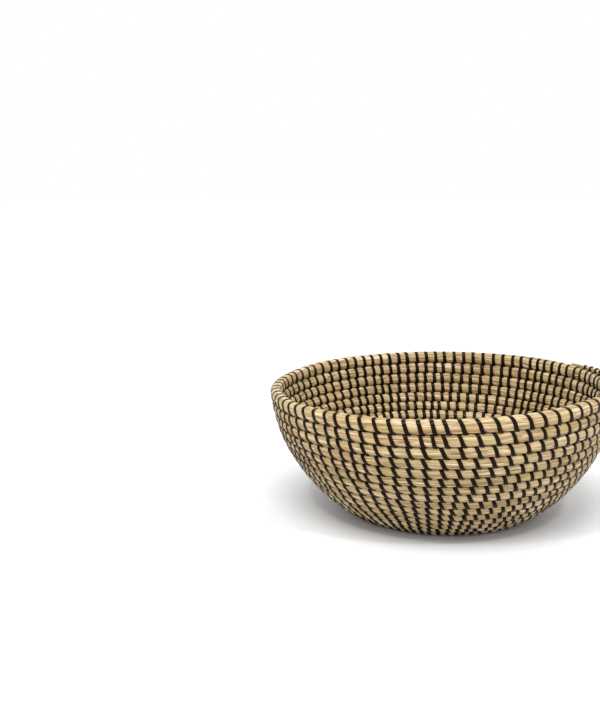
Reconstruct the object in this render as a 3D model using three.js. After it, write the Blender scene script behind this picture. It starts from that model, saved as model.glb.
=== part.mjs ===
import * as THREE from 'three';

// Coiled bowl basket: one long grass bundle wound in a spiral from the centre
// of the base up to the rim, each turn sewn to the turn before it with a black
// strip. Units are millimetres, +Z is up, and the base rests on Z = 0.

// Coil: the bundle is even over the base and wall, and thicker at the rim
const coursePitch = 8.85;                       // one turn to the next
const spiralStart = 4.0;                        // tight curl at the centre
const growthTurn = 17.5;                        // turn where it starts to thicken
const growthRate = 0.127;
const growthPower = 2.22;
const bundleThickness = 8.7;                    // across the wall
const rimThickening = 1.1;                      // added on the inner face at the rim
const contactGap = 0.3;                         // between pieces that touch
const courseCount = 22;                         // full turns after the centre
const tailAngle = THREE.MathUtils.degToRad(75); // tapered end of the bundle
const tailTipScale = 0.16;                      // tip size over full size
const endAzimuth = THREE.MathUtils.degToRad(28);
const stepsPerTurn = 30;

// Bowl profile, on the centre line of the bundle
const baseRadius = 76.2;
const kneeRadius = 6.1;
const kneeAngle = THREE.MathUtils.degToRad(31.7);
const wallRadius = 141.3;

// The handmade rim isn't level: it rises towards +X and +Y
const nominalHeight = 115;
const leanX = 0.033;
const leanY = 0.020;

// Bundle section, as parts of its half width and half thickness: flat where
// turns meet, chamfered round the rest
const flatPart = 0.42;

// Sewing strip, where it lies in the groove between two turns
const runHalfWidth = 1.95;
const runOuter = 4.05;
const runInner = 2.4;

const fullTurn = 2 * Math.PI;
const halfThickness = bundleThickness / 2;
const grassColours = [0xd3bf95, 0xcbb588, 0xd8c7a0];

const grass = (index) => new THREE.MeshStandardMaterial({
  color: grassColours[index % grassColours.length],
  roughness: 0.8,
  metalness: 0,
});

const strip = () => new THREE.MeshStandardMaterial({
  color: 0x1c1714,
  roughness: 0.4,
  metalness: 0,
});

// Length along the bowl's profile that the coil has reached after some turns
function spiral(turn) {
  const growth = growthRate * Math.max(0, turn - growthTurn) ** growthPower;
  return spiralStart + coursePitch * turn + growth;
}

// Radius, height and slope of the bowl at a length measured from the centre
function meridian(along) {
  const wallStart = baseRadius + kneeRadius * kneeAngle;
  const knee = THREE.MathUtils.clamp((along - baseRadius) / kneeRadius, 0, kneeAngle);
  const slope = knee + Math.max(0, along - wallStart) / wallRadius;
  const wallRun = Math.sin(slope) - Math.sin(knee);
  const wallRise = Math.cos(knee) - Math.cos(slope);
  return {
    radius: Math.min(along, baseRadius) + kneeRadius * Math.sin(knee) + wallRadius * wallRun,
    height: halfThickness + kneeRadius * (1 - Math.cos(knee)) + wallRadius * wallRise,
    slope,
  };
}

// Point at a turn count, a length along the profile and a distance out through
// the wall from the bundle's centre line
function coilPoint(turn, along, out) {
  const wall = meridian(along);
  const radius = wall.radius + out * Math.sin(wall.slope);
  const height = wall.height - out * Math.cos(wall.slope);
  const azimuth = endAzimuth + fullTurn * turn;
  const x = radius * Math.cos(azimuth);
  const y = radius * Math.sin(azimuth);
  const lean = (leanX * x + leanY * y) * height / nominalHeight;
  return new THREE.Vector3(x, y, height + lean);
}

// The bundle fills the space between the turn before it and the turn after it.
// `scale` thins it towards the turn before it.
function bundlePoint(turn, x, y, scale) {
  const low = spiral(turn - 0.5) + contactGap / 2;
  const high = spiral(turn + 0.5) - contactGap / 2;
  const rimPart = THREE.MathUtils.clamp((turn - growthTurn) / (courseCount - growthTurn), 0, 1);
  const inward = y < 0 ? rimThickening * rimPart : 0;
  const along = low + (x + 1) / 2 * (high - low) * scale;
  return coilPoint(turn, along, y * (halfThickness + inward) * scale);
}

// The strip runs in the groove between a turn and the turn after it
const runPoint = (turn, x, y) => coilPoint(turn, spiral(turn + 0.5) + x, y);

function shapeFrom(points) {
  return new THREE.Shape(points.map(([x, y]) => new THREE.Vector2(x, y)));
}

const bundleSection = shapeFrom([
  [1, -flatPart],
  [1, flatPart],
  [flatPart, 1],
  [-flatPart, 1],
  [-1, flatPart],
  [-1, -flatPart],
  [-flatPart, -1],
  [flatPart, -1],
]);

const runSection = shapeFrom([
  [-runHalfWidth, runOuter],
  [0, runInner],
  [runHalfWidth, runOuter],
]);

// A straight bar of the section, bent round the bowl from one turn count to
// another, with `place` giving each of its points
function bentBar(section, fromTurn, toTurn, place, taper = () => 1) {
  const steps = Math.max(2, Math.round((toTurn - fromTurn) * stepsPerTurn));
  const bar = new THREE.ExtrudeGeometry(section, { depth: 1, steps, bevelEnabled: false });
  const position = bar.getAttribute('position');
  const trim = (turn) => contactGap / 2 / (fullTurn * spiral(turn));
  const first = fromTurn + trim(fromTurn);
  const last = toTurn - trim(toTurn);
  for (let i = 0; i < position.count; i += 1) {
    const part = position.getZ(i);
    const nominal = fromTurn + part * (toTurn - fromTurn);
    const turn = THREE.MathUtils.clamp(nominal, first, last);
    const point = place(turn, position.getX(i), position.getY(i), taper(part));
    position.setXYZ(i, point.x, point.y, point.z);
  }
  bar.deleteAttribute('uv');
  bar.computeVertexNormals();
  return bar;
}

// Tightly curled start of the bundle: a disc whose edge is the first spiral
// turn, so its radius grows all the way round and drops back at one step
function centreStart() {
  const edge = (part) => spiral(part + 0.5) - contactGap / 2;
  const chamferWidth = (1 - flatPart) * (coursePitch - contactGap) / 2;
  const chamferHeight = (1 - flatPart) * halfThickness;
  const profile = [
    [0, 0],
    [edge(0) - chamferWidth, 0],
    [edge(0), chamferHeight],
    [edge(0), bundleThickness - chamferHeight],
    [edge(0) - chamferWidth, bundleThickness],
    [0, bundleThickness],
  ];
  const outline = profile.map(([x, y]) => new THREE.Vector2(x, y));
  const disc = new THREE.LatheGeometry(outline, stepsPerTurn);
  const position = disc.getAttribute('position');
  const lastPart = 1 - contactGap / (fullTurn * edge(1));
  for (let i = 0; i < position.count; i += 1) {
    const column = Math.floor(i / profile.length) % stepsPerTurn;
    const [reach, height] = profile[i % profile.length];
    const part = column / (stepsPerTurn - 1) * lastPart;
    const radius = reach > 0 ? reach + edge(part) - edge(0) : 0;
    const azimuth = endAzimuth + fullTurn * part;
    position.setXYZ(i, radius * Math.cos(azimuth), radius * Math.sin(azimuth), height);
  }
  disc.deleteAttribute('uv');
  disc.computeVertexNormals();
  return disc;
}

const basket = new THREE.Group();

function addPiece(name, geometry, material) {
  const piece = new THREE.Mesh(geometry, material);
  piece.name = name;
  basket.add(piece);
}

const numbered = (stem, index) => `${stem}_${String(index).padStart(2, '0')}`;

addPiece('centre_start', centreStart(), grass(0));

const tailStart = courseCount + 1 - tailAngle / fullTurn;
for (let course = 1; course <= courseCount; course += 1) {
  const endTurn = course < courseCount ? course + 1 : tailStart;
  const turnOfGrass = bentBar(bundleSection, course, endTurn, bundlePoint);
  addPiece(numbered('course', course), turnOfGrass, grass(course));
}

const thinning = (part) => 1 - (1 - tailTipScale) * part;
const tail = bentBar(bundleSection, tailStart, courseCount + 1, bundlePoint, thinning);
addPiece('rim_tail', tail, grass(1));

for (let run = 1; run <= courseCount; run += 1) {
  addPiece(numbered('stitch_run', run), bentBar(runSection, run - 1, run, runPoint), strip());
}

export default basket;
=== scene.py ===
import math

import bpy
import numpy as np
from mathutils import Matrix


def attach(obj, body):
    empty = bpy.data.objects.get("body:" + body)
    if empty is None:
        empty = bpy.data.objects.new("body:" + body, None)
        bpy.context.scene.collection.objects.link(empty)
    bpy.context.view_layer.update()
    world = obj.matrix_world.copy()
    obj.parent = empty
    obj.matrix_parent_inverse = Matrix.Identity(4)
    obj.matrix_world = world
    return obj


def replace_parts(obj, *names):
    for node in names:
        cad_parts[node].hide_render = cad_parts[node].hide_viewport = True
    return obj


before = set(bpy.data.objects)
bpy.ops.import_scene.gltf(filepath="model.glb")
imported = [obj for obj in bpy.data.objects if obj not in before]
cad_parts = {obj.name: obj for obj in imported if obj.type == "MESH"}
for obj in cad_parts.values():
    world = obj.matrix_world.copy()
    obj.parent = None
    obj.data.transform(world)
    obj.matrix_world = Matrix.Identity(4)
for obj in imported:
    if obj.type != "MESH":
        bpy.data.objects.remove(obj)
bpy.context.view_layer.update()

# ---------------------------------------------------------------- dimensions
# The coil is the one that the CAD frame is built on. Lengths are in metres.
MM = 0.001
PITCH = 8.85 * MM                   # one turn to the next, along the wall
SPIRAL_START = 4.0 * MM             # tight curl at the centre
GROWTH_TURN = 17.5                  # turn where the bundle starts to thicken
GROWTH_RATE = 0.127 * MM
GROWTH_POWER = 2.22
HALF_THICK = 4.35 * MM              # half the bundle, through the wall
RIM_THICKENING = 1.1 * MM           # added on the inner face at the rim
COURSES = 22
END_AZIMUTH = math.radians(28)      # where each turn is counted from
END_TURN = COURSES + 1
TAIL_TURN = END_TURN - 75 / 360     # the bundle tapers from here to its tip
TAIL_TIP = 0.16                     # tip size over full size
TAIL_SHIFT = 1.3 * MM               # the tip lies towards the outside
START_TURN = -0.7                   # inner end of the bundle
BASE_R = 76.2 * MM                  # the flat base, out to the knee
KNEE_R = 6.1 * MM                   # the bend from the base to the wall
KNEE_A = math.radians(31.7)
WALL_R = 141.3 * MM                 # the wall is an arc of this radius
NOMINAL_H = 115 * MM
LEAN = (0.033, 0.020)               # the rim is higher on one side

# Handwork: how far a turn strays along the wall and through it
STRAY_ALONG = 0.45 * MM
STRAY_OUT = 0.55 * MM

# Grass bundle
SECTION_POWER = 2.5                 # squareness of the bundle's section
STALKS = 24                         # stalks seen round a bundle
STALK_ROUND = 0.30 * MM             # how far a stalk stands out of its gaps
STALK_RISE = 0.20 * MM              # how far one stalk lies over the next
SPLIT_DEPTH = 0.55 * MM             # a split down the middle of a stalk
DENT = 0.46 * MM                    # waist under each stitch
DENT_REACH = 2.1 * MM
PRESS_REACH = 2.5 * MM              # a stitch presses the stalks flat this near
OVERLAP = 0.22 * MM                 # neighbouring turns press into each other
GRASS_FLOOR = 0.75 * MM             # lowest point of the grass on the base
GROOVE_WIDTH = 0.42                 # part of the section that gets painted groove shade, as a sine
LENGTH_STEP = 1.4 * MM              # between the rings of a bundle's mesh
BUNDLE_GIRTH = 27 * MM

# Sewing strip
STRIP_HALF = 1.72 * MM
STRIP_THICK = 0.46 * MM
STRIP_INSET = 0.12 * MM             # the strip sinks into the top of its turn
STRIP_BITE = 1.35 * MM              # and goes this far into the turn below
SIDE_INSET = 0.2 * MM
WRAP_STEPS = 32                     # mesh rings for each stitch
STRIP_GIRTH = 8 * MM

# Stitches: how many go round a turn, by its radius
COUNT_RADII = (0, 78 * MM, 100 * MM, 145 * MM)
COUNTS = (0, 67, 76, 84)
FIRST_COUNT = 6
UNEVENNESS = 0.12                   # stitches stand wider apart on one side
WIDE_SIDE = 207 / 360               # in turns from the tail's tip
LAG = 0.25 * MM                     # each stitch starts a little before the one below
DRIFT = 0.30 * MM                   # unevenness that the rows above follow
SPREAD = 0.42 * MM                  # unevenness of one stitch alone
SPREAD_LIMIT = 1.0 * MM
LAST_STITCH = END_TURN - 0.003

rng = np.random.default_rng(41)


class Noise:
    """Smooth value noise, -1 to 1, on a grid that repeats."""

    ROWS = 32

    def __init__(self, period=1024):
        self.period = period
        self.table = rng.random((period, self.ROWS)) * 2 - 1

    def __call__(self, x, y):
        x, y = np.broadcast_arrays(np.asarray(x, float), np.asarray(y, float))
        ix, iy = np.floor(x).astype(int), np.floor(y).astype(int)
        fx, fy = x - ix, y - iy
        fx, fy = fx * fx * (3 - 2 * fx), fy * fy * (3 - 2 * fy)
        x0, x1 = ix % self.period, (ix + 1) % self.period
        y0, y1 = iy % self.ROWS, (iy + 1) % self.ROWS
        low = self.table[x0, y0] * (1 - fx) + self.table[x1, y0] * fx
        high = self.table[x0, y1] * (1 - fx) + self.table[x1, y1] * fx
        return low * (1 - fy) + high * fy


HAND_PERIOD = 16                    # steps of the handwork's noise in one turn
hand_up, hand_out = Noise(HAND_PERIOD), Noise(HAND_PERIOD)
swell, wander, rise, tone_a, tone_b, tone_c, ribbon_noise, splits = (Noise() for _ in range(8))


# ---------------------------------------------------------------- coil
def spiral(turn):
    """Length along the profile that the coil has reached after some turns."""
    growth = GROWTH_RATE * np.maximum(0, turn - GROWTH_TURN) ** GROWTH_POWER
    return SPIRAL_START + PITCH * turn + growth


def meridian(along):
    """Radius, height and slope of the bowl at a length along its profile."""
    knee = np.clip((along - BASE_R) / KNEE_R, 0, KNEE_A)
    slope = knee + np.maximum(0, along - BASE_R - KNEE_R * KNEE_A) / WALL_R
    radius = np.minimum(along, BASE_R) + KNEE_R * np.sin(knee)
    radius = radius + WALL_R * (np.sin(slope) - np.sin(knee))
    height = HALF_THICK + KNEE_R * (1 - np.cos(knee))
    height = height + WALL_R * (np.cos(knee) - np.cos(slope))
    return radius, height, slope


def coil_point(turn, along, out, floor=0.0):
    """Point at a turn count, a length along the profile and a distance out
    through the wall, with the unevenness of handwork."""
    azimuth = END_AZIMUTH + 2 * math.pi * turn
    along = np.maximum(along, 0.25 * MM)
    place = azimuth / (2 * math.pi) * HAND_PERIOD
    on_wall = np.clip((along - BASE_R) / (30 * MM), 0, 1)
    from_centre = np.clip(along / BASE_R, 0, 1)
    along = along + STRAY_ALONG * from_centre * hand_up(place, along / (19 * MM))
    out = out + STRAY_OUT * on_wall * hand_out(place, along / (27 * MM))
    radius, height, slope = meridian(along)
    radius = radius + out * np.sin(slope)
    height = height - out * np.cos(slope)
    x, y = radius * np.cos(azimuth), radius * np.sin(azimuth)
    z = height * (1 + (LEAN[0] * x + LEAN[1] * y) / NOMINAL_H)
    return np.stack([x, y, np.maximum(z, floor)], -1)


def tail_part(turn):
    """0 up to where the tail starts, and 1 at its tip."""
    return np.clip((turn - TAIL_TURN) / (END_TURN - TAIL_TURN), 0, 1)


def section(turn):
    """Middle of the bundle along the profile, its half width and half
    thickness, and how far out through the wall it lies."""
    inner = np.maximum(0, spiral(turn - 0.5))
    half = (spiral(turn + 0.5) - inner) / 2
    tail = tail_part(turn)
    rim = np.clip((turn - GROWTH_TURN) / (COURSES - GROWTH_TURN), 0, 1)
    scale = 1 - (1 - TAIL_TIP) * tail
    thick = HALF_THICK * np.minimum(1, half / (PITCH / 2)) ** 0.5 + RIM_THICKENING / 2 * rim
    shift = TAIL_SHIFT * tail - RIM_THICKENING / 2 * rim * scale
    return inner + half * scale, half * scale, thick * scale ** 0.75, shift


TURN_STEP = 0.001
turn_grid = np.arange(START_TURN, COURSES + 1.2, TURN_STEP)
radius_grid = np.maximum(meridian(np.abs(spiral(turn_grid)))[0], PITCH / 2)
length_grid = np.concatenate([[0], np.cumsum(2 * math.pi * radius_grid[:-1] * TURN_STEP)])


def length_at(turn):
    """Length of bundle from its inner end."""
    return np.interp(turn, turn_grid, length_grid)


def turn_at(length):
    return np.interp(length, length_grid, turn_grid)


# ---------------------------------------------------------------- stitches
def stitch_turns():
    """Turn count of every stitch: each stands over one of the row below, and
    the maker adds one wherever the bowl's growth leaves too wide a gap."""
    columns = (np.arange(FIRST_COUNT) + 0.5) / FIRST_COUNT
    found = []
    for row in range(COURSES + 1):
        radius = meridian(spiral(row + 0.5))[0]
        while len(columns) < np.interp(radius, COUNT_RADII, COUNTS) - 0.5:
            gaps = np.diff(np.append(columns, columns[0] + 1))
            widest = np.argmax(gaps * rng.uniform(0.85, 1.15, len(gaps)))
            columns = np.insert(columns, widest + 1, columns[widest] + gaps[widest] / 2)
        for _ in range(2):
            round_trip = np.concatenate([[columns[-1] - 1], columns, [columns[0] + 1]])
            columns = columns + 0.4 * ((round_trip[:-2] + round_trip[2:]) / 2 - columns)
        drift = rng.normal(0, DRIFT, len(columns)) - LAG
        columns = columns + drift / (2 * math.pi * radius)
        spread = rng.normal(0, SPREAD, len(columns))
        spread = np.clip(spread, -SPREAD_LIMIT, SPREAD_LIMIT)
        uneven = np.sin(2 * math.pi * (columns - WIDE_SIDE)) / (2 * math.pi)
        uneven = uneven * np.interp(radius, (BASE_R, WALL_R), (0, UNEVENNESS))
        found.extend(row + columns + uneven + spread / (2 * math.pi * radius))
    return np.array(sorted(turn for turn in found if turn < LAST_STITCH))


stitches = stitch_turns()
stitch_length = length_at(stitches)

# How far a stitch moves along the bundle as it goes round it, as shares of the
# space to the next stitch, each between two angles in degrees: over the top,
# down the outer face, along the outer groove, through the turn below and up
# the inner face.
ANGLES = np.radians(np.arange(0, 361))
SHARES = ((-25, 25, 0.04), (25, 138, 0.36), (138, 180, 0.32), (180, 222, 0.13), (222, 335, 0.15))


def advance_table():
    """The running total of the shares at each degree, with soft corners."""
    rate = np.zeros(360)
    for start, end, share in SHARES:
        rate[np.arange(start, end) % 360] += share / (end - start)
    window = np.exp(-0.5 * (np.arange(-40, 41) / 9) ** 2)
    smooth = np.convolve(np.concatenate([rate] * 3), window / window.sum(), "same")[360:720]
    total = np.concatenate([[0], np.cumsum(smooth)])
    return total / total[-1]


ADVANCE = advance_table()


def advance(angle):
    turns = np.floor(angle / (2 * math.pi))
    return turns + np.interp(angle - turns * 2 * math.pi, ANGLES, ADVANCE)


def stitch_distance(length, angle):
    """Distance along the bundle to the nearest stitch."""
    place = np.interp(length, stitch_length, np.arange(len(stitch_length)))
    index = np.clip(place.astype(int), 0, len(stitch_length) - 2)
    space = np.diff(stitch_length)[index]
    part = place - advance(angle)
    return np.abs(part - np.round(part)) * space


# ---------------------------------------------------------------- meshes
CAP_UV = (0.999, 0.999)             # the hidden end caps share one corner of the map
STRIPS_WIDE = 0.99                  # part of the map that the strips of UV fill
STRIPS_HIGH = 0.96                  # part of its row that each strip fills


def superellipse(angle, power):
    """Point of a rounded square of half size 1, at an angle."""
    c, s = np.cos(angle), np.sin(angle)
    return np.sign(c) * np.abs(c) ** (2 / power), np.sign(s) * np.abs(s) ** (2 / power)


def new_piece(name, verts, quads, caps, uv, attributes, material):
    """A closed mesh of quads and end caps, with its own strip-like UV map."""
    mesh = bpy.data.meshes.new(name)
    corners = np.concatenate([quads.ravel()] + [np.array(c) for c in caps]).astype(np.int32)
    sizes = np.array([4] * len(quads) + [len(c) for c in caps], np.int32)
    starts = np.concatenate([[0], np.cumsum(sizes)[:-1]]).astype(np.int32)
    mesh.vertices.add(len(verts))
    mesh.vertices.foreach_set("co", verts.astype(np.float32).ravel())
    mesh.loops.add(len(corners))
    mesh.loops.foreach_set("vertex_index", corners)
    mesh.polygons.add(len(sizes))
    mesh.polygons.foreach_set("loop_start", starts)
    mesh.polygons.foreach_set("loop_total", sizes)
    mesh.polygons.foreach_set("use_smooth", np.arange(len(sizes)) < len(quads))
    mesh.update(calc_edges=True)
    layer = mesh.uv_layers.new(name="OFBake")
    flat = np.zeros((len(corners), 2), np.float32)
    flat[: len(quads) * 4] = uv.reshape(-1, 2)
    flat[len(quads) * 4 :] = CAP_UV
    layer.uv.foreach_set("vector", flat.ravel())
    for key, values in attributes.items():
        kind, field = ("FLOAT_VECTOR", "vector") if values.ndim == 2 else ("FLOAT", "value")
        attribute = mesh.attributes.new(key, kind, "POINT")
        attribute.data.foreach_set(field, values.astype(np.float32).ravel())
    mesh.materials.append(material)
    piece = bpy.data.objects.new(name, mesh)
    bpy.context.scene.collection.objects.link(piece)
    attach(piece, "root")
    return piece


def sweep(name, points, length, girth, attributes, material):
    """Skins rings of points (ring, place, xyz) into a closed piece. Its UV map
    is cut into rows, so that a long piece has square texels."""
    rings, places = points.shape[:2]
    i, j = np.meshgrid(np.arange(rings - 1), np.arange(places), indexing="ij")
    k = (j + 1) % places
    a, b, c, d = i * places + j, (i + 1) * places + j, (i + 1) * places + k, i * places + k
    quads = np.stack([a, b, c, d], -1).reshape(-1, 4)
    caps = [list(range(places)), list(range(rings * places - 1, (rings - 1) * places - 1, -1))]
    rows = max(1, round(math.sqrt(length / girth)))
    per_row = math.ceil((rings - 1) / rows)
    row, column = i // per_row, i % per_row
    u0, u1 = column / per_row * STRIPS_WIDE, (column + 1) / per_row * STRIPS_WIDE
    v0 = (row + j / places * STRIPS_HIGH) / rows
    v1 = (row + (j + 1) / places * STRIPS_HIGH) / rows
    uv = np.stack([np.stack(corner, -1) for corner in ((u0, v0), (u1, v0), (u1, v1), (u0, v1))], 2)
    flat = {key: value.reshape(-1, *value.shape[2:]) for key, value in attributes.items()}
    return new_piece(name, points.reshape(-1, 3), quads, caps, uv, flat, material)


def section_angles():
    """Angles round the bundle, closer together on the two faces that show.
    0 degrees is towards the rim and 90 degrees is out of the bowl."""
    face = np.linspace(30, 150, 40, endpoint=False)
    edge = np.linspace(150, 210, 8, endpoint=False)
    near_edge = np.linspace(-30, 30, 8, endpoint=False)
    return np.radians(np.concatenate([edge[4:] - 360, face - 180, near_edge, face, edge[:4]]))


PHI = section_angles()


def stalks_at(length, around):
    """The number of the stalk at a place on the bundle, and its rounded profile
    there: 1 along its middle, 0 in the gap to the next."""
    lane = STALKS * around + 1.1 * wander(length / (45 * MM), around * 8)
    lane = lane + 0.35 * wander(length / (14 * MM), 8 + around * 16)
    stalk = np.floor(lane)
    across = 2 * (lane - stalk) - 1
    return stalk, 1 - np.abs(across) ** 2.4


def splits_at(length, stalk):
    """1 where a stalk is split, 0 where it is whole."""
    split = splits(length / (11 * MM) + stalk * 3.77, stalk * 2.3)
    return np.clip((split - 0.42) / 0.12, 0, 1)


def tone_at(length, around, stalk):
    """How pale the grass is: it changes from stalk to stalk, from patch to
    patch and along the coil."""
    tone = 0.80 * tone_a(length / (26 * MM) + stalk * 5.17, stalk * 2.9)
    tone = tone + 0.25 * tone_b(length / (70 * MM), around * 4)
    tone = tone + 0.24 * tone_b(length / (110 * MM), 20.5)
    return 0.5 + 0.5 * (tone + 0.25 * tone_c(length / (7 * MM) + stalk * 3.3, stalk * 1.7))


def bundle(name, start, end, material):
    """One length of the grass bundle, with its stalks, its pillows between the
    stitches and its pinched waist under each stitch."""
    from_length, to_length = length_at(start), length_at(end)
    rings = max(8, math.ceil((to_length - from_length) / LENGTH_STEP)) + 1
    length = np.linspace(from_length, to_length, rings)[:, None]
    turn = turn_at(length)
    phi = PHI[None, :]
    around = (phi / (2 * math.pi) + 0.5) % 1
    stalk, lobe = stalks_at(length, around)
    split = splits_at(length, stalk) * lobe
    level = rise(length / (32 * MM) + stalk * 7.31, stalk * 1.37)
    gap = stitch_distance(length, phi)
    pinch_and_shade = np.exp(-((gap / DENT_REACH) ** 2))
    middle, half, thick, shift = section(turn)
    size = np.minimum(1, half / (PITCH / 2))
    press = 1 - 0.85 * np.exp(-((gap / PRESS_REACH) ** 4))
    lift = STALK_ROUND * (lobe - 0.65) + STALK_RISE * level + 0.10 * MM - SPLIT_DEPTH * split
    lift = lift * press * size
    dent = DENT * pinch_and_shade * size
    grow = 1 + 0.02 * swell(length / (55 * MM), 0.5)
    cu, sv = superellipse(phi, SECTION_POWER)
    along = middle + (half * grow + 0.3 * lift + OVERLAP * size - dent) * cu
    out = shift + (thick * grow + lift - dent) * sv
    points = coil_point(turn, along, out, GRASS_FLOOR)
    coil = np.stack(np.broadcast_arrays(length, around * BUNDLE_GIRTH, 0.0), -1)
    # The last turn's upper edge is free, so there is no groove above it and no painted groove
    # shade.
    covered = np.where(np.cos(phi) > 0, np.clip((COURSES - turn) / 0.02, 0, 1), 1)
    attributes = {
        "tone": tone_at(length, around, stalk),
        # painted shade between the stalks and in their splits
        "cavity_shade": np.maximum(1 - lobe, split),
        # the waist under each stitch, also painted shade under it
        "pinch_and_shade": pinch_and_shade,
        # painted shade in the grooves between turns
        "groove_shade": np.exp(-((np.sin(phi) / GROOVE_WIDTH) ** 2)) * covered,
        "coil": coil,
    }
    piece = sweep(name, points, to_length - from_length, BUNDLE_GIRTH, attributes, material)
    return piece


TINY = 1e-7                         # a direction shorter than this has none

# Section of the strip, in its half widths and its thicknesses: two ridges and
# a raised middle on the face that shows
RIBBON = np.array([
    (-1, 0), (-0.84, 0.72), (-0.55, 1.0), (-0.28, 0.72), (0, 1.08), (0.28, 0.72),
    (0.55, 1.0), (0.84, 0.72), (1, 0), (0.6, -0.7), (-0.6, -0.7),
])


def strip(name, start, end, material):
    """The sewing strip over one turn: it winds round the bundle, stitch after
    stitch, and each time passes through the top of the turn below."""
    first, last = np.searchsorted(stitches, [start, end])
    last = min(last, len(stitches) - 2)
    index = np.arange(first * WRAP_STEPS, last * WRAP_STEPS + 1) / WRAP_STEPS
    which = np.minimum(index.astype(int), len(stitches) - 2)
    phi = (index - which) * 2 * math.pi
    length = stitch_length[which] + advance(phi) * np.diff(stitch_length)[which]
    turn = turn_at(length)
    middle, half, thick, shift = section(turn)
    top, bottom = middle + half - STRIP_INSET, middle - half - STRIP_BITE
    side = thick - SIDE_INSET
    c, s = superellipse(phi, SECTION_POWER)

    def place(grow, floor):
        """The strip's route, grown outwards a little, at or above a floor."""
        along = (top + bottom) / 2 + ((top - bottom) / 2 + grow) * c
        return coil_point(turn, along, shift + (side + grow) * s, floor)

    path = place(0, STRIP_THICK)
    outward = place(0.2 * MM, -1) - place(0, -1)
    tangent = np.gradient(path, axis=0)
    tangent /= np.linalg.norm(tangent, axis=1, keepdims=True)
    flat = outward - tangent * (outward * tangent).sum(1, keepdims=True)
    reach = np.linalg.norm(flat, axis=1, keepdims=True)
    flat = np.where(reach > TINY, flat / np.maximum(reach, TINY), [0, 0, 1.0])
    across = np.cross(tangent, flat)
    in_groove = np.exp(-(((np.degrees(phi) - 180) / 34) ** 4))
    size = np.minimum(1, half / (PITCH / 2)) ** 0.35
    stitch_size = 1 + 0.09 * ribbon_noise(which * 1.7, 3.3)
    half_width = STRIP_HALF * (1 - 0.42 * in_groove) * size * stitch_size
    thickness = STRIP_THICK * (1 + 0.10 * ribbon_noise(index * 9, 7.7))
    knot = tail_part(turn)
    half_width = half_width * (1 + 0.2 * knot)
    thickness = thickness * (1 + 1.6 * knot)
    points = (path[:, None] + across[:, None] * (RIBBON[None, :, :1] * half_width[:, None, None])
              + flat[:, None] * (RIBBON[None, :, 1:] * thickness[:, None, None]))
    points[..., 2] = np.maximum(points[..., 2], 0.0)
    run = np.concatenate([[0], np.cumsum(np.linalg.norm(np.diff(path, axis=0), axis=1))])
    coil = np.stack(np.broadcast_arrays(run[:, None], RIBBON[None, :, 0] * STRIP_HALF, 0.0), -1)
    piece = sweep(name, points, run[-1], STRIP_GIRTH, {"coil": coil}, material)
    return piece


# ---------------------------------------------------------------- materials
class Nodes:
    """Short helpers for building a node material."""

    def __init__(self, name):
        self.material = bpy.data.materials.new(name)
        self.material.use_nodes = True
        self.tree = self.material.node_tree
        self.shader = self.tree.nodes["Principled BSDF"]

    def add(self, kind, values=(), **settings):
        node = self.tree.nodes.new(kind)
        for key, value in settings.items():
            setattr(node, key, value)
        for key, value in dict(values).items():
            if isinstance(value, bpy.types.NodeSocket):
                self.tree.links.new(value, node.inputs[key])
            else:
                node.inputs[key].default_value = value
        return node

    def attribute(self, name, output="Fac"):
        return self.add("ShaderNodeAttribute", attribute_name=name).outputs[output]

    def math(self, operation, a, b=0.0, c=0.0):
        return self.add("ShaderNodeMath", {0: a, 1: b, 2: c}, operation=operation).outputs[0]

    def noise(self, vector, scale, detail=2.0, roughness=0.5):
        values = {"Vector": vector, "Scale": scale, "Detail": detail, "Roughness": roughness}
        return self.add("ShaderNodeTexNoise", values).outputs["Fac"]

    def scaled(self, vector, scale):
        values = {"Vector": vector, "Scale": scale}
        return self.add("ShaderNodeMapping", values).outputs["Vector"]

    def ramp(self, factor, stops):
        node = self.add("ShaderNodeValToRGB", {"Fac": factor})
        while len(node.color_ramp.elements) < len(stops):
            node.color_ramp.elements.new(0.5)
        for element, (place, colour) in zip(node.color_ramp.elements, stops):
            element.position = place
            element.color = (*colour, 1)
        return node.outputs["Color"]

    def mix(self, factor, a, b, blend="MIX"):
        node = self.add("ShaderNodeMix", data_type="RGBA", blend_type=blend)
        for key, value in ((0, factor), (6, a), (7, b)):
            if isinstance(value, bpy.types.NodeSocket):
                self.tree.links.new(value, node.inputs[key])
            else:
                node.inputs[key].default_value = value
        return node.outputs[2]

    def link(self, output, socket):
        self.tree.links.new(output, self.shader.inputs[socket])


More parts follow.
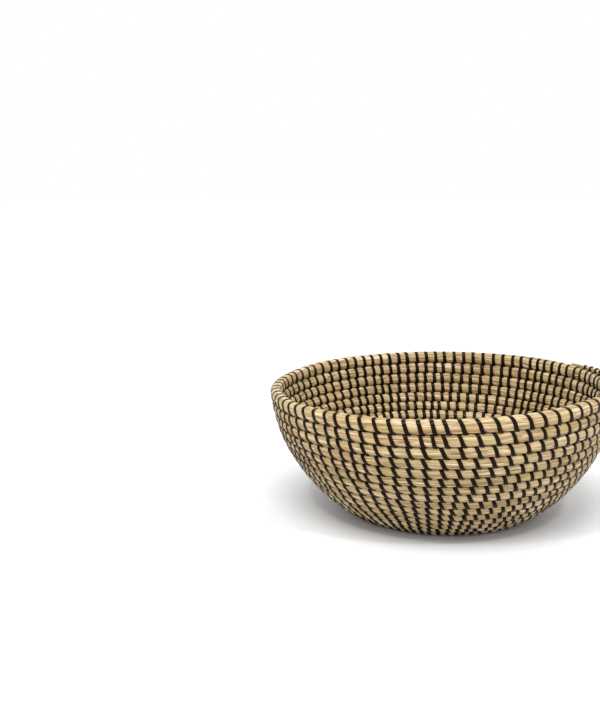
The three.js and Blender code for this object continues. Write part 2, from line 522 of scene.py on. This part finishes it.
def grass_material():
    """Dried grass: straw with fine streaks, greenish and rusty patches and thin
    dark cracks. Painted shade darkens it between the stalks and in their splits,
    under the stitches and in the grooves. The coil attribute runs along and round
    the bundle in metres."""
    n = Nodes("dried_grass")
    coil = n.attribute("coil", "Vector")
    tone = n.attribute("tone")
    streak = n.noise(n.scaled(coil, (60, 1800, 1)), 1.0, 3.0, 0.6)
    blotch = n.noise(n.scaled(coil, (22, 260, 1)), 1.0, 2.0)
    value = n.math("ADD", n.math("MULTIPLY", tone, 0.62), n.math("MULTIPLY", streak, 0.38))
    straw = n.ramp(value, [
        (0.24, (0.25, 0.145, 0.060)), (0.38, (0.45, 0.315, 0.145)), (0.48, (0.61, 0.465, 0.255)),
        (0.58, (0.73, 0.595, 0.365)), (0.71, (0.86, 0.74, 0.53)),
    ])
    green = n.ramp(blotch, [(0.47, (0, 0, 0)), (0.62, (0.7, 0.7, 0.7))])
    straw = n.mix(green, straw, (0.52, 0.47, 0.20, 1))
    rust_noise = n.noise(n.scaled(coil, (16, 300, 1)), 1.7, 1.0)
    rust = n.ramp(rust_noise, [(0.56, (0, 0, 0)), (0.70, (0.6, 0.6, 0.6))])
    straw = n.mix(rust, straw, (0.60, 0.33, 0.12, 1))
    crack_noise = n.noise(n.scaled(coil, (28, 1300, 1)), 1.0, 2.0, 0.5)
    crack = n.ramp(crack_noise, [(0.555, (0, 0, 0)), (0.60, (0.62, 0.62, 0.62))])
    straw = n.mix(crack, straw, (0.27, 0.17, 0.08, 1))
    # Painted shade between the stalks and in their splits.
    cavity_shade = n.math("MULTIPLY", n.math("POWER", n.attribute("cavity_shade"), 1.5), 0.75)
    straw = n.mix(cavity_shade, straw, (0.25, 0.155, 0.07, 1))
    # Painted shade under the stitches.
    pinch_and_shade = n.math("MULTIPLY", n.attribute("pinch_and_shade"), 0.45)
    straw = n.mix(pinch_and_shade, straw, (0.22, 0.14, 0.07, 1))
    # Painted shade in the grooves between turns, almost black.
    groove_shade = n.math("MULTIPLY", n.attribute("groove_shade"), 0.9)
    straw = n.mix(groove_shade, straw, (0.045, 0.026, 0.012, 1))
    straw = n.mix(1.0, straw, (0.87, 0.837, 0.812, 1), "MULTIPLY")
    n.link(straw, "Base Color")
    fine = n.noise(n.scaled(coil, (150, 4200, 1)), 1.0, 3.0, 0.65)
    rough = n.math("MULTIPLY_ADD", fine, 0.25, 0.50)
    n.link(rough, "Roughness")
    bump = n.add("ShaderNodeBump", {"Strength": 0.55, "Distance": 0.00025, "Height": fine})
    n.link(bump.outputs["Normal"], "Normal")
    n.shader.inputs["Specular IOR Level"].default_value = 0.35
    return n.material


def strip_material():
    """Black strip with fine ridges and a soft brown shine."""
    n = Nodes("black_strip")
    coil = n.attribute("coil", "Vector")
    streak = n.noise(n.scaled(coil, (120, 2600, 1)), 1.0, 2.0)
    colour = n.ramp(streak, [(0.35, (0.004, 0.002, 0.0006)), (0.70, (0.014, 0.007, 0.0028))])
    n.link(colour, "Base Color")
    n.shader.inputs["Roughness"].default_value = 0.2
    n.shader.inputs["Specular IOR Level"].default_value = 0.08
    n.shader.inputs["Specular Tint"].default_value = (1, 0.82, 0.68, 1)
    return n.material


def floor_material():
    n = Nodes("pale_floor")
    place = n.add("ShaderNodeTexCoord").outputs["Object"]
    grain = n.noise(place, 40.0)
    colour = n.ramp(grain, [(0.3, (0.74, 0.75, 0.765)), (0.7, (0.76, 0.77, 0.785))])
    n.link(colour, "Base Color")
    n.shader.inputs["Roughness"].default_value = 0.9
    return n.material


# ---------------------------------------------------------------- basket
grass = grass_material()
black = strip_material()

start_piece = bundle("grass_start", START_TURN, 1.0, grass)
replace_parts(start_piece, "centre_start")
for course in range(1, COURSES + 1):
    end = course + 1 if course < COURSES else TAIL_TURN
    turn_piece = bundle(f"grass_turn_{course:02d}", course, end, grass)
    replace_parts(turn_piece, f"course_{course:02d}")
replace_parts(bundle("grass_tail", TAIL_TURN, END_TURN, grass), "rim_tail")
for course in range(1, COURSES + 1):
    begin = course if course > 1 else 0
    strip_piece = strip(f"strip_turn_{course:02d}", begin, course + 1, black)
    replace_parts(strip_piece, f"stitch_run_{course:02d}")

# ---------------------------------------------------------------- stage
FLOOR = 6                           # half the floor's side
floor_mesh = bpy.data.meshes.new("floor")
floor_corners = [(-FLOOR, -FLOOR, 0), (FLOOR, -FLOOR, 0), (FLOOR, FLOOR, 0), (-FLOOR, FLOOR, 0)]
floor_mesh.from_pydata(floor_corners, [], [(0, 1, 2, 3)])
floor_mesh.materials.append(floor_material())
floor = bpy.data.objects.new("floor", floor_mesh)
bpy.context.scene.collection.objects.link(floor)
floor.location.z = -0.2 * MM        # just clear of the basket's underside

world = bpy.data.worlds.new("studio")
world.use_nodes = True
background = world.node_tree.nodes["Background"]
background.inputs["Color"].default_value = (1, 1, 1, 1)
background.inputs["Strength"].default_value = 1.0
bpy.context.scene.world = world


def softbox(name, place, target, size, power):
    """A round lamp that faces a target."""
    light = bpy.data.lights.new(name, "AREA")
    light.shape = "DISK"
    light.size = size
    light.energy = power
    lamp = bpy.data.objects.new(name, light)
    bpy.context.scene.collection.objects.link(lamp)
    lamp.location = place
    x, y, z = np.array(target) - np.array(place)
    lamp.rotation_euler = (math.atan2(math.hypot(x, y), -z), 0, math.atan2(y, x) - math.pi / 2)


BASKET_MIDDLE = (0, 0, 0.05)
softbox("left_box", (-0.6, -0.9, 1.3), BASKET_MIDDLE, 0.12, 3.5)
softbox("right_box", (0.5, -0.9, 1.3), BASKET_MIDDLE, 0.12, 4.8)

ceiling = bpy.data.lights.new("ceiling", "SUN")
ceiling.energy = 1.8
ceiling.angle = math.radians(30)
ceiling_lamp = bpy.data.objects.new("ceiling", ceiling)
bpy.context.scene.collection.objects.link(ceiling_lamp)
ceiling_lamp.rotation_euler = (math.radians(28), 0, math.radians(-15))

# The camera stands a metre in front, a little to the left, and looks down.
LOOK_DOWN = 10.467                  # degrees
camera_data = bpy.data.cameras.new("camera")
camera_data.lens = 57.257
camera_data.sensor_width = 36
camera = bpy.data.objects.new("camera", camera_data)
bpy.context.scene.collection.objects.link(camera)
camera.location = (-0.1246, -0.9819, 0.3142)
camera.rotation_euler = (math.radians(90 - LOOK_DOWN), 0, 0)
bpy.context.scene.camera = camera
bpy.context.scene.view_settings.view_transform = "Standard"
